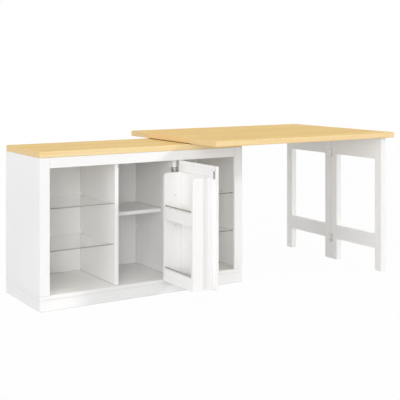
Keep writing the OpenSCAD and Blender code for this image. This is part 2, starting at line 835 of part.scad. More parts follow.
plinth_front();
plinth_back();
plinth_cross_boards();
bottom_board();
side_panel_left();
side_panel_right();
stile_left();
stile_right();
top_rail();
rear_stile_left();
rear_stile_right();
rear_rail();
divider_left();
divider_right();
back_panel();
top_bearers();
worktop();
glass_shelf_left_lower();
glass_shelf_left_upper();
glass_shelf_right_lower();
glass_shelf_right_upper();
centre_shelf();
shelf_pins();
door_hinge_frame_leaves();
door_hinge_pins();
door_catch();
glide_strips();
guide_studs();
door_panel();
rack_side_near();
rack_side_far();
rack_back();
rack_floor_upper();
rack_floor_lower();
rack_guard_upper();
rack_guard_lower();
rack_rods();
door_hinge_door_leaves();
door_catch_plate();
table_top();
guide_channels();
channel_stops();
frame_brackets();
fixed_leg_outer();
fixed_leg_inner();
fixed_apron();
fixed_stretcher();
fixed_leg_glides();
frame_hinge_fixed_leaves();
frame_hinge_pins();
gate_catch();
gate_leg_outer();
gate_leg_inner();
gate_apron();
gate_stretcher();
gate_leg_glides();
frame_hinge_gate_leaves();
gate_catch_plate();
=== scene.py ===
import math

import bmesh
import bpy
from bpy.props import FloatProperty, FloatVectorProperty, IntProperty, PointerProperty
from mathutils import Matrix, Vector


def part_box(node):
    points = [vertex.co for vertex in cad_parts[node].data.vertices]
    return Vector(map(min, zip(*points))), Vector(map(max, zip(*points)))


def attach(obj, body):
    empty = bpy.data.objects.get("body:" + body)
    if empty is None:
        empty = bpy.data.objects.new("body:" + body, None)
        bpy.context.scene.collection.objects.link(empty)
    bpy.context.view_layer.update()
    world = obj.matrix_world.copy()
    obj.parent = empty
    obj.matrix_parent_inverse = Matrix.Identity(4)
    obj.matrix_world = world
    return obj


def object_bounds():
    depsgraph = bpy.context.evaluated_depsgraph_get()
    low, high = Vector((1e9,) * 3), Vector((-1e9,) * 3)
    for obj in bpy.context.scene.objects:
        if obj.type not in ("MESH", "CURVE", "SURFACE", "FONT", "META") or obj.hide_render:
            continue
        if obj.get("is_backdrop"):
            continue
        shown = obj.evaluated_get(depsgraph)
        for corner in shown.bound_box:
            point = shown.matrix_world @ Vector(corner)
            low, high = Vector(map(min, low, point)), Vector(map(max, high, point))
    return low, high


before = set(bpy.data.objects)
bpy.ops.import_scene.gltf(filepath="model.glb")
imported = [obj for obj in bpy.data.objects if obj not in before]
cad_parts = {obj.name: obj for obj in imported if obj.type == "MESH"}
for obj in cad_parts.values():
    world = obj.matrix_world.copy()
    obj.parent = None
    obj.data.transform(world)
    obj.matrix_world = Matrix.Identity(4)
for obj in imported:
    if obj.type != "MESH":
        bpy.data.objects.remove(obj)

bl_info = {
    "name": "Kitchen Island Table",
    "version": (1, 0, 0),
    "blender": (4, 5, 0),
    "location": "View3D > Sidebar > Island",
    "description": "Finishes, fittings and a studio for a kitchen island with a sliding table",
    "category": "Object",
}

# Bodies of the frame, by the names that the joints use
CABINET = "cabinet"
DOOR = "door"
TABLE = "table"
GATE = "leg_gate"

# CAD nodes by their finish. The letter is the axis that a painted board's grain runs along.
GRAIN_X = ["plinth_front", "plinth_back", "bottom_board", "top_rail", "rear_rail",
           "top_bearers", "centre_shelf"]
GRAIN_Y = ["plinth_cross_boards", "rack_floor_upper", "rack_floor_lower", "rack_guard_upper",
           "rack_guard_lower", "fixed_apron", "fixed_stretcher", "gate_apron", "gate_stretcher"]
GRAIN_Z = ["stile_left", "stile_right", "rear_stile_left", "rear_stile_right", "door_panel",
           "fixed_leg_outer", "fixed_leg_inner", "gate_leg_outer", "gate_leg_inner"]
BAYS_Z = ["side_panel_left", "side_panel_right", "divider_left", "divider_right", "back_panel"]
RACK_Z = ["rack_side_near", "rack_side_far", "rack_back"]
OAK = ["worktop", "table_top"]
LEFT_GLASS = ["glass_shelf_left_lower", "glass_shelf_left_upper"]
RIGHT_GLASS = ["glass_shelf_right_lower", "glass_shelf_right_upper"]
STEEL = ["shelf_pins", "door_hinge_frame_leaves", "door_hinge_pins", "guide_studs", "rack_rods",
         "door_hinge_door_leaves", "door_catch_plate", "frame_brackets", "frame_hinge_fixed_leaves",
         "frame_hinge_pins", "frame_hinge_gate_leaves", "gate_catch_plate"]
ALUMINIUM = ["guide_channels"]
NYLON = ["door_catch", "glide_strips", "channel_stops", "fixed_leg_glides", "gate_catch",
         "gate_leg_glides"]

X_AXIS = Vector((1, 0, 0))
Y_AXIS = Vector((0, 1, 0))
Z_AXIS = Vector((0, 0, 1))

# Heights of the patterns that stand in relief, in metres
PAINT_STREAK_RELIEF = 0.00012
PAINT_STIPPLE_RELIEF = 0.00004
OAK_LINE_RELIEF = 0.0002
OAK_PORE_RELIEF = 0.0001
GLASS_WAVE_RELIEF = 0.0001
METAL_BRUSH_RELIEF = 0.00002
NYLON_SPARK_RELIEF = 0.00003

PAINT_IOR = 1.46
GLASS_IOR = 1.5
NYLON_IOR = 1.53

# Painted shade: ambient occlusion darkens the paint or the oak on both sides of joints and creases,
# where shade falls between parts, as far as its reach in metres and by a share at most. It starts
# at one openness and is full at the other.
PAINT_JOINT_SHADE_REACH = 0.006
RACK_JOINT_SHADE_REACH = 0.0015
OAK_JOINT_SHADE_REACH = 0.012
PAINT_JOINT_SHADE_SHARE = 0.5
OAK_JOINT_SHADE_SHARE = 0.66
JOINT_SHADE_STARTS = 0.92
JOINT_SHADE_FULL = 0.4
JOINT_SHADE_SAMPLES = 8

# Least part of a face's normal along an axis for the face to count as looking along it, and how
# much an upright face's normal may rise or fall
LOOKS_ALONG = 0.75
UPRIGHT_BELOW = 0.5

# How far the sealed colour shows through the oil on the oak's upright faces, and how strongly the
# oil mirrors
UPRIGHT_SEALED_SHARE = 0.27
OAK_SHEEN = 0.06

# How much of the glass shelves' flat faces shows, and how rough their ground edges are
GLASS_FLAT_SHARE = 0.25
GLASS_EDGE_ROUGHNESS = 0.45

# Tones of a surface's darker places, as shares of its own colour
GLASS_SMEAR_TONE = 0.985
METAL_DULL_TONE = 0.8
NYLON_FLOW_TONE = 0.93

# Least and most roughness of the metals
STEEL_ROUGHNESS = (0.22, 0.4)
ALUMINIUM_ROUGHNESS = (0.28, 0.46)

# The hinges' leaves, and the gap between the two halves of the leg frame that their hinges bridge
LEAF_THICKNESS = 0.0015
DOOR_HINGE_HEIGHT = 0.050
FRAME_HINGE_HEIGHT = 0.058
FRAME_LEAF_WIDTH = 0.022
SEAM = 0.002

# The hinge screws: the outer ones' distance from a hinge's middle as a share of its height, their
# distance across a leaf as a share of its width, and that on the divider's front edge in metres
OUTER_SHARE = 0.34
ACROSS_SHARE = 0.62
DOOR_SCREW_ACROSS = 0.012

# The brackets' wall and width
BRACKET_WALL = 0.0025
BRACKET_WIDTH = 0.036

# A screw's cross recess and a domed head's edge, as shares of the head's radius and height
CROSS_REACH = 0.56
CROSS_HALF_WIDTH = 0.15
CROSS_TAPER = 0.72
CROSS_DEPTH = 0.5
DOME_TOP = 0.86
DOME_ROUND = 0.35
# Turn of a screw's cross in radians for each metre of its place, so that no two stand alike
TURN_PER_METRE = 14.0

# The covers of the rack's fittings: their heights above the floor, their distance from the door,
# and the rounding of their rims as a share of their own height
COVER_HEIGHTS = (0.602, 0.419)
COVER_FROM_DOOR = 0.056
COVER_ROUND = 0.6
COVER_ROUND_STEPS = 3

# The door's finger slot: its middle from the door's free edge and top, and its size
SLOT_FROM_EDGE = 0.022
SLOT_FROM_TOP = 0.051
SLOT_WIDTH = 0.022
SLOT_HEIGHT = 0.050

# Vertices nearer than this are one, and edges that turn by more than the angle are sharp
SAME_PLACE = 0.000001
SHARP_ANGLE = math.radians(35)

# The camera's sensor in millimetres, and the lamps' distance from the origin in metres
SENSOR_WIDTH = 36
LAMP_DISTANCE = 5

# Colours of the floor and of the even light, as they light the object
FLOOR_TINT = (0.77, 0.78, 0.8)
SKY_TINT = (0.96, 0.975, 1.0)
WHITE = (1.0, 1.0, 1.0)
# How much of the floor's white is shown over its shadows
FLOOR_WHITE_SHARE = 0.97

# Each lamp's name, spread in degrees, tint, and the direction that its light comes from
LAMPS = [
    ("key", 6, (1.0, 0.99, 0.97), (0.74, -0.53, 0.42)),
    ("fill", 40, (0.99, 0.99, 1.0), (-0.5, -0.65, 0.57)),
    ("low", 30, (0.985, 0.98, 1.0), (-0.52, -0.84, 0.14)),
    ("side", 40, (0.98, 0.98, 1.0), (-0.98, -0.1, 0.17)),
    ("top", 40, (1.0, 0.97, 0.92), (0.0, -0.2, 0.98)),
]


def linear(red, green, blue):
    """A colour given as the eye sees it, from 0 to 255, as linear light."""
    def one(value):
        share = value / 255
        return share / 12.92 if share <= 0.04045 else ((share + 0.055) / 1.055) ** 2.4
    return one(red), one(green), one(blue)


def colour(name, description, red, green, blue):
    return FloatVectorProperty(name=name, description=description, subtype="COLOR", size=3,
                               min=0.0, max=1.0, default=linear(red, green, blue))


def length(name, description, metres):
    return FloatProperty(name=name, description=description, subtype="DISTANCE", unit="LENGTH",
                         min=0.0, default=metres)


def strength(name, description, default):
    return FloatProperty(name=name, description=description, min=0.0, default=default)


class IslandFinishes(bpy.types.PropertyGroup):
    paint: colour("Paint", "Colour of the painted boards", 252, 251, 249)
    paint_shade: colour("Paint shade", "Colour of the paint where its coat is thin", 245, 244, 242)
    # Painted shade: the colour of the paint deep in joints, where shade falls
    joint_shade: colour("Joint", "Colour of the paint deep in the joints", 150, 148, 145)
    oak: colour("Oak", "Main colour of the oak", 250, 211, 136)
    oak_pale: colour("Pale oak", "Colour of the oak's pale bands", 253, 222, 152)
    oak_grain: colour("Oak grain", "Colour of the oak's grain lines", 234, 188, 108)
    oak_pore: colour("Oak pores", "Colour of the oak's open pores", 208, 160, 86)
    # Painted shade: the colour of the oak deep in joints, where shade falls
    oak_joint_shade: colour("Oak joint", "Colour of the oak deep in the joints", 112, 76, 38)
    sealed: colour("Sealed oak", "Colour of the unoiled undersides of the oak", 245, 239, 228)
    glass: colour("Glass", "Tint of the glass shelves", 253, 253, 252)
    glass_edge: colour("Glass edge", "Tint of the shelves' edges", 143, 142, 139)
    steel: colour("Steel", "Colour of hinges, rods and screws", 219, 217, 213)
    aluminium: colour("Aluminium", "Colour of the guide channels", 208, 209, 212)
    nylon: colour("Nylon", "Colour of glides, strips, stops and catches", 226, 224, 217)
    sleeve: colour("Sleeve", "Colour of the sleeve in the finger slot", 184, 183, 181)


class IslandFittings(bpy.types.PropertyGroup):
    sink_head: length("Countersunk head", "Diameter of the hinge screws' heads", 0.0064)
    sink_depth: length("Countersunk depth", "Height of the hinge screws' heads", 0.0014)
    sink_shank: length("Screw shank", "Diameter of the hinge screws below their heads", 0.0036)
    pan_head: length("Pan head", "Diameter of the bracket screws' heads", 0.009)
    pan_height: length("Pan height", "Height of the bracket screws' heads", 0.0028)
    cover: length("Cover", "Diameter of the covers over the rack's fittings", 0.012)
    cover_height: length("Cover height", "Height of those covers", 0.0008)
    sleeve: length("Sleeve", "Wall of the sleeve in the door's finger slot", 0.001)
    segments: IntProperty(name="Segments", description="Facets round a screw", default=24, min=12)


class IslandStage(bpy.types.PropertyGroup):
    camera_place: FloatVectorProperty(name="Camera place", description="Where the camera stands",
                                      subtype="TRANSLATION", size=3,
                                      default=(-3.121, -4.8892, 1.3658))
    heading: FloatProperty(name="Heading", description="Turn of the level camera from +Y to +X",
                           subtype="ANGLE", default=math.radians(32.228))
    lens: FloatProperty(name="Lens", description="Focal length in millimetres on a 36 mm sensor",
                        default=80.43, min=10)
    shift_down: FloatProperty(name="Shift down", description="Lens shift as a share of the sensor",
                              default=0.3279)
    floor_width: length("Floor width", "Width of the square floor", 16.0)
    ambient: strength("Ambient", "Strength of the even light", 0.29)
    key: strength("Key", "Strength of the light from the right front", 1.0)
    fill: strength("Fill", "Strength of the soft light from the left front", 0.48)
    low: strength("Low", "Strength of the low light from the left front", 0.87)
    side: strength("Side", "Strength of the low light from the left", 0.8)
    top: strength("Top", "Strength of the soft light from above", 0.6)


def settings():
    scene = bpy.context.scene
    return scene.island_finishes, scene.island_fittings, scene.island_stage


class Nodes:
    """The nodes of a material or a world, which start with nothing but an output."""

    def __init__(self, holder, output):
        holder.use_nodes = True
        self.tree = holder.node_tree
        self.tree.nodes.clear()
        self.output = self.add(output)

    def add(self, kind, **values):
        node = self.tree.nodes.new(kind)
        for name, value in values.items():
            setattr(node, name, value)
        return node

    def join(self, source, target):
        self.tree.links.new(source, target)

    def put(self, target, value):
        """Gives an input a number, a colour or another node's output."""
        if isinstance(value, bpy.types.NodeSocket):
            self.join(value, target)
        elif target.type == "RGBA":
            target.default_value = (*value[:3], 1.0)
        else:
            target.default_value = value

    def fill(self, node, **values):
        """Gives a node's inputs their values, by their names with underscores for spaces."""
        for name, value in values.items():
            self.put(node.inputs[name.replace("_", " ")], value)
        return node

    def maths(self, operation, first, second=0.0):
        node = self.add("ShaderNodeMath", operation=operation)
        self.put(node.inputs[0], first)
        self.put(node.inputs[1], second)
        return node.outputs[0]

    def blend(self, factor, first, second):
        """Mixes a second shader into a first by a factor."""
        node = self.add("ShaderNodeMixShader")
        self.put(node.inputs[0], factor)
        self.join(first, node.inputs[1])
        self.join(second, node.inputs[2])
        return node.outputs[0]

    def white_to_the_eye(self, shown, lit, share=1.0):
        """Mixes a white that the camera, metal and glass see into what lights the object, by a
        share."""
        path = self.add("ShaderNodeLightPath")
        seen = path.outputs["Is Camera Ray"]
        for ray in ("Is Glossy Ray", "Is Transmission Ray"):
            seen = self.maths("MAXIMUM", seen, path.outputs[ray])
        return self.blend(self.maths("MULTIPLY", seen, share), lit, shown)


class Finish(Nodes):
    """A material whose layers are made from patterns on Object coordinates. Its noise lies mostly
    between 0.3 and 0.7, and remap picks the part of it that a layer shows."""

    def __init__(self, name):
        self.material = bpy.data.materials.new(name)
        super().__init__(self.material, "ShaderNodeOutputMaterial")
        self.shader = self.add("ShaderNodeBsdfPrincipled")
        self.join(self.shader.outputs["BSDF"], self.output.inputs["Surface"])
        self.where = self.add("ShaderNodeTexCoord")

    def noise(self, scale, detail=2.0, start=(0.0, 0.0, 0.0), distortion=0.0, roughness=0.5):
        """Noise with its own scale along X, Y and Z, in patches per metre."""
        mapping = self.fill(self.add("ShaderNodeMapping"), Vector=self.where.outputs["Object"],
                            Scale=scale, Location=start)
        node = self.fill(self.add("ShaderNodeTexNoise"), Vector=mapping.outputs["Vector"],
                         Scale=1.0, Detail=detail, Distortion=distortion, Roughness=roughness)
        return node.outputs["Fac"]

    def remap(self, value, low, high, least=0.0, most=1.0):
        """Turns a value's range from low to high into one from least to most."""
        node = self.fill(self.add("ShaderNodeMapRange", clamp=True), Value=value, From_Min=low,
                         From_Max=high, To_Min=least, To_Max=most)
        return node.outputs["Result"]

    def mix(self, factor, first, second):
        """Mixes a second colour into a first by a factor."""
        node = self.add("ShaderNodeMix", data_type="RGBA")
        self.put(node.inputs["Factor"], factor)
        # The node has an A, a B and a Result for each type of data. These are the colours' places.
        self.put(node.inputs[6], first)
        self.put(node.inputs[7], second)
        return node.outputs[2]

    def axes(self, coordinates):
        """The X, Y and Z of the Object coordinates or of the Normal."""
        return self.fill(self.add("ShaderNodeSeparateXYZ"),
                         Vector=self.where.outputs[coordinates]).outputs

    def looks_along(self, part):
        """1 on faces that look one way or the other along the axis of a part of their normal."""
        return self.maths("GREATER_THAN", self.maths("ABSOLUTE", part), LOOKS_ALONG)

    def joints(self, reach, most):
        """Painted shade read from ambient occlusion: from 0 in the open to most deep in a crease,
        within a reach.
        """
        node = self.fill(self.add("ShaderNodeAmbientOcclusion", samples=JOINT_SHADE_SAMPLES),
                         Distance=reach)
        return self.remap(node.outputs["AO"], JOINT_SHADE_STARTS, JOINT_SHADE_FULL, most=most)

    def relief(self, *layers):
        """Bumps the surface by patterns from 0 to 1, each with its height in metres."""
        normal = None
        for value, height in layers:
            node = self.fill(self.add("ShaderNodeBump"), Strength=1.0, Distance=height,
                             Height=value)
            if normal is not None:
                self.join(normal, node.inputs["Normal"])
            normal = node.outputs["Normal"]
        self.join(normal, self.shader.inputs["Normal"])

    def shade(self, **values):
        self.fill(self.shader, **values)


def even(scale):
    """A noise scale that is the same along all axes."""
    return scale, scale, scale


def along(axis, fine, coarse):
    """A noise scale that is coarse along one axis and fine across it."""
    return tuple(coarse if i == axis else fine for i in range(3))


def toned(tint, share):
    """A share of a colour, or of white, which is a grey."""
    return tuple(channel * share for channel in tint)


def painted_wood(name, axis, joint_shade_reach=PAINT_JOINT_SHADE_REACH, shelves=()):
    """Satin paint rolled on smooth boards, whose grain runs along the axis and barely shows.
    Painted shade darkens it in its joints, but not along the named shelves."""
    finish = Finish(name)
    looks = settings()[0]
    clouds = finish.noise(even(2.6), detail=3.0, start=(axis, 3.0, 7.0))
    streaks = finish.noise(along(axis, fine=90.0, coarse=1.6), detail=3.0)
    stipple = finish.noise(even(520.0))
    thin = finish.maths("MULTIPLY", finish.remap(clouds, 0.35, 0.7),
                        finish.remap(streaks, 0.35, 0.75))
    coat = finish.mix(thin, looks.paint, looks.paint_shade)
    # Painted shade in the joints and creases, kept off bands round the glass shelves, which let the
    # light through
    deep = finish.joints(joint_shade_reach, PAINT_JOINT_SHADE_SHARE)
    for shelf in shelves:
        low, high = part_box(shelf)
        above = finish.maths("SUBTRACT", finish.axes("Object")["Z"], (low.z + high.z) / 2)
        away = finish.maths("GREATER_THAN", finish.maths("ABSOLUTE", above),
                            (high.z - low.z) / 2 + joint_shade_reach)
        deep = finish.maths("MULTIPLY", deep, away)
    finish.shade(Base_Color=finish.mix(deep, coat, looks.joint_shade),
                 Roughness=finish.remap(stipple, 0.3, 0.7, least=0.42, most=0.54),
                 IOR=PAINT_IOR)
    finish.relief((streaks, PAINT_STREAK_RELIEF), (stipple, PAINT_STIPPLE_RELIEF))
    return finish.material


def oiled_oak(name):
    """Oak with its grain along X, end grain on the faces that look along X, and a satin oil coat.
    Its underside is sealed and not oiled."""
    finish = Finish(name)
    looks = settings()[0]
    bands = finish.noise((0.55, 11.0, 11.0), detail=3.0, start=(2.0, 5.0, 1.0), distortion=0.4)
    lines = finish.noise((2.2, 130.0, 130.0), detail=4.0, distortion=0.25, roughness=0.6)
    pores = finish.noise((16.0, 620.0, 620.0))
    base = finish.mix(finish.remap(bands, 0.38, 0.62), looks.oak, looks.oak_pale)
    grain = finish.mix(finish.remap(lines, 0.48, 0.78, most=0.55), base, looks.oak_grain)
    long_face = finish.mix(finish.remap(pores, 0.6, 0.76, most=0.5), grain, looks.oak_pore)

    rings = finish.noise((0.5, 26.0, 210.0), detail=3.0, distortion=1.2)
    dots = finish.noise((1.0, 900.0, 900.0))
    end_base = finish.mix(finish.remap(rings, 0.35, 0.7, most=0.7), looks.oak, looks.oak_grain)
    end_face = finish.mix(finish.remap(dots, 0.55, 0.75, most=0.45), end_base, looks.oak_pore)

    normal = finish.axes("Normal")
    upright = finish.maths("LESS_THAN", finish.maths("ABSOLUTE", normal["Z"]), UPRIGHT_BELOW)
    under = finish.maths("LESS_THAN", normal["Z"], -LOOKS_ALONG)
    sealed = finish.mix(finish.remap(lines, 0.45, 0.8), looks.sealed, looks.oak_pale)
    oiled = finish.mix(finish.looks_along(normal["X"]), long_face, end_face)
    outside = finish.mix(finish.maths("MULTIPLY", upright, UPRIGHT_SEALED_SHARE), oiled, sealed)
    unshaded_oak = finish.mix(under, outside, sealed)
    # Painted shade in the oak's joints and creases, such as where the table lies over the worktop
    deep = finish.joints(OAK_JOINT_SHADE_REACH, OAK_JOINT_SHADE_SHARE)
    finish.shade(Base_Color=finish.mix(deep, unshaded_oak, looks.oak_joint_shade),
                 Roughness=finish.remap(lines, 0.3, 0.8, least=0.48, most=0.62),
                 Specular_IOR_Level=OAK_SHEEN)
    finish.relief((lines, OAK_LINE_RELIEF), (finish.remap(pores, 0.76, 0.55), OAK_PORE_RELIEF))
    return finish.material


def shelf_glass(name):
    """Clear float glass with ground edges. It lets lamps and the light of its surroundings through,
    so that what stands under it isn't dark, and an edge shows only on the side that faces the
    eye."""
    finish = Finish(name)
    looks = settings()[0]
    waves = finish.noise(even(3.0), detail=1.0)
    smears = finish.noise((14.0, 22.0, 14.0), detail=4.0, distortion=0.8)
    flat = finish.looks_along(finish.axes("Normal")["Z"])
    face = finish.mix(finish.remap(smears, 0.35, 0.75), looks.glass,
                      toned(looks.glass, GLASS_SMEAR_TONE))
    inside = finish.add("ShaderNodeNewGeometry").outputs["Backfacing"]
    edge = finish.maths("MULTIPLY", finish.maths("SUBTRACT", 1.0, flat),
                        finish.maths("SUBTRACT", 1.0, inside))
    finish.shade(Base_Color=finish.mix(flat, looks.glass_edge, face),
                 Roughness=finish.mix(flat, toned(WHITE, GLASS_EDGE_ROUGHNESS),
                                      finish.remap(smears, 0.5, 0.8, most=0.04)),
                 IOR=GLASS_IOR, Transmission_Weight=1.0,
                 Alpha=finish.maths("MAXIMUM", edge,
                                    finish.maths("MULTIPLY", flat, GLASS_FLAT_SHARE)))
    finish.relief((waves, GLASS_WAVE_RELIEF))
    clear = finish.fill(finish.add("ShaderNodeBsdfTransparent"), Color=looks.glass)
    path = finish.add("ShaderNodeLightPath")
    shown = finish.shader.outputs["BSDF"]
    for ray in ("Is Diffuse Ray", "Is Shadow Ray"):
        shown = finish.blend(path.outputs[ray], shown, clear.outputs["BSDF"])
    finish.join(shown, finish.output.inputs["Surface"])
    return finish.material


def brushed_metal(name, tint, axis, roughness):
    """Metal with fine brush lines or draw lines along one axis."""
    finish = Finish(name)
    brush = finish.noise(along(axis, fine=2400.0, coarse=40.0))
    dull = finish.noise(even(60.0), detail=3.0)
    smooth, rough = roughness
    finish.shade(Base_Color=finish.mix(finish.remap(dull, 0.3, 0.75), tint,
                                       toned(tint, METAL_DULL_TONE)),
                 Roughness=finish.remap(brush, 0.25, 0.75, least=smooth, most=rough),
                 Metallic=1.0)
    finish.relief((brush, METAL_BRUSH_RELIEF))
    return finish.material


def moulded_nylon(name, tint):
    """Matt moulded plastic with a fine spark-eroded texture."""
    finish = Finish(name)
    spark = finish.noise(even(1500.0))
    flow = finish.noise((40.0, 40.0, 12.0))
    finish.shade(Base_Color=finish.mix(finish.remap(flow, 0.3, 0.7), tint,
                                       toned(tint, NYLON_FLOW_TONE)),
                 Roughness=finish.remap(spark, 0.3, 0.7, least=0.5, most=0.62),
                 IOR=NYLON_IOR)
    finish.relief((spark, NYLON_SPARK_RELIEF))
    return finish.material


def dress(names, material):
    """Gives CAD nodes one material in place of what they came with."""
    for name in names:
        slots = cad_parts[name].data.materials
        slots.clear()
        slots.append(material)


class ISLAND_OT_finish_boards(bpy.types.Operator):
    """Paint the boards and oil the oak tops"""
    bl_idname = "island.finish_boards"
    bl_label = "Finish Boards"

    def execute(self, context):
        dress(GRAIN_X, painted_wood("white_paint_x", 0))
        dress(GRAIN_Y, painted_wood("white_paint_y", 1))
        dress(GRAIN_Z, painted_wood("white_paint_z", 2))
        # The rack's boards get their painted shade over a shorter reach
        dress(RACK_Z, painted_wood("white_paint_rack", 2, joint_shade_reach=RACK_JOINT_SHADE_REACH))
        # The glass shelves on the right lie at the heights of those on the left
        dress(BAYS_Z, painted_wood("white_paint_bays", 2, shelves=LEFT_GLASS))
        dress(OAK, oiled_oak("oiled_oak"))
        return {"FINISHED"}


class ISLAND_OT_finish_fittings(bpy.types.Operator):
    """Give the glass, metal and plastic pieces their materials"""
    bl_idname = "island.finish_fittings"
    bl_label = "Finish Fittings"

    def execute(self, context):
        looks = settings()[0]
        dress(LEFT_GLASS + RIGHT_GLASS, shelf_glass("shelf_glass"))
        dress(STEEL, brushed_metal("satin_steel", looks.steel, 2, STEEL_ROUGHNESS))
        dress(ALUMINIUM, brushed_metal("channel_aluminium", looks.aluminium, 0,
                                       ALUMINIUM_ROUGHNESS))
        dress(NYLON, moulded_nylon("pale_nylon", looks.nylon))
        return {"FINISHED"}


def facing(outward):
    """Turns +Z to an outward direction."""
    return Z_AXIS.rotation_difference(outward).to_matrix().to_4x4()


def draw_out(mesh, edges):
    """Extrudes a loop of edges. Gives the new loop's vertices and edges."""
    made = bmesh.ops.extrude_edge_only(mesh, edges=edges)["geom"]
    return ([g for g in made if isinstance(g, bmesh.types.BMVert)],
            [g for g in made if isinstance(g, bmesh.types.BMEdge)])


def sunk_head(fittings):
    """The rings of a countersunk head, from its rim inwards, by their radius and height."""
    return [(fittings.sink_head / 2, 0.0), (fittings.sink_shank / 2, -fittings.sink_depth)]


def domed_head(fittings):
    """The rings of a domed head, from its top outwards and down, by their radius and height."""
    radius = fittings.pan_head / 2
    height = fittings.pan_height
    return [(radius * DOME_TOP, height), (radius, height - DOME_ROUND * height), (radius, 0.0)]


def add_screw(mesh, place, outward, rings, segments):
    """A screw head with a cross recess, made of rings round a place on the face that it sits in."""
    (top_radius, top), *further = rings
    radius = max(ring_radius for ring_radius, _ in rings)
    height = top - rings[-1][1]
    rim = bmesh.ops.create_circle(mesh, segments=segments, radius=top_radius,
                                  matrix=Matrix.Translation((0, 0, top)))["verts"]
    rim_edges = list(dict.fromkeys(e for v in rim for e in v.link_edges))

    arm, half = radius * CROSS_REACH, radius * CROSS_HALF_WIDTH
    corners = [(arm, half), (half, half), (half, arm), (-half, arm), (-half, half), (-arm, half),
               (-arm, -half), (-half, -half), (-half, -arm), (half, -arm), (half, -half),
               (arm, -half)]
    cross = [mesh.verts.new((x, y, top)) for x, y in corners]
    cross_edges = [mesh.edges.new((cross[i - 1], cross[i])) for i in range(len(cross))]
    bmesh.ops.bridge_loops(mesh, edges=rim_edges + cross_edges)
    deep, deep_edges = draw_out(mesh, cross_edges)
    bmesh.ops.scale(mesh, verts=deep, vec=(CROSS_TAPER, CROSS_TAPER, 1.0))
    bmesh.ops.translate(mesh, verts=deep, vec=(0, 0, -CROSS_DEPTH * height))
    bmesh.ops.contextual_create(mesh, geom=deep_edges)

    verts = [*rim, *cross, *deep]
    loop = rim_edges
    for ring_radius, ring_height in further:
        ring, loop = draw_out(mesh, loop)
        for vert in ring:
            flat = Vector((vert.co.x, vert.co.y, 0)).normalized() * ring_radius
            vert.co = Vector((flat.x, flat.y, ring_height))
        verts += ring
    bmesh.ops.contextual_create(mesh, geom=loop)
    turn = Matrix.Rotation(TURN_PER_METRE * (place.x + place.z), 4, "Z")
    bmesh.ops.transform(mesh, matrix=Matrix.Translation(place) @ facing(outward) @ turn,
                        verts=verts)


def join_in(mesh, part):
    """Adds one mesh under work to another and lets go of it."""
    carrier = bpy.data.meshes.new("carrier")
    part.to_mesh(carrier)
    part.free()
    mesh.from_mesh(carrier)
    bpy.data.meshes.remove(carrier)


def add_cover(mesh, place, outward, width, height, segments):
    """A round cover with a soft rim, standing on a board."""
    cover = bmesh.new()
    bmesh.ops.create_cone(cover, cap_ends=True, segments=segments, radius1=width / 2,
                          radius2=width / 2, depth=height,
                          matrix=Matrix.Translation((0, 0, height / 2)))
    top = [e for e in cover.edges if all(v.co.z > height / 2 for v in e.verts)]
    bmesh.ops.bevel(cover, geom=top, offset=height * COVER_ROUND, offset_type="OFFSET",
                    segments=COVER_ROUND_STEPS, profile=0.5, affect="EDGES", material=-1)
    bmesh.ops.transform(cover, matrix=Matrix.Translation(place) @ facing(outward),
                        verts=cover.verts)
    join_in(mesh, cover)


def finish_piece(mesh, name, body, slot, material=None):
    """Makes a mesh an object that rides on a body, with the slot's material or one of its own."""
    bmesh.ops.remove_doubles(mesh, verts=mesh.verts, dist=SAME_PLACE)
    bmesh.ops.recalc_face_normals(mesh, faces=mesh.faces)
    data = bpy.data.meshes.new(name)
    mesh.to_mesh(data)
    mesh.free()
    data.materials.append(material or bpy.data.materials[slot])
    data.shade_smooth()
    data.set_sharp_from_angle(angle=SHARP_ANGLE)
    piece = bpy.data.objects.new(name, data)
    bpy.context.scene.collection.objects.link(piece)
    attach(piece, body)


def hinge_middles(node, height):
    """Heights of the lower and upper hinge of a node that holds both."""
    low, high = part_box(node)
    return low.z + height / 2, high.z - height / 2


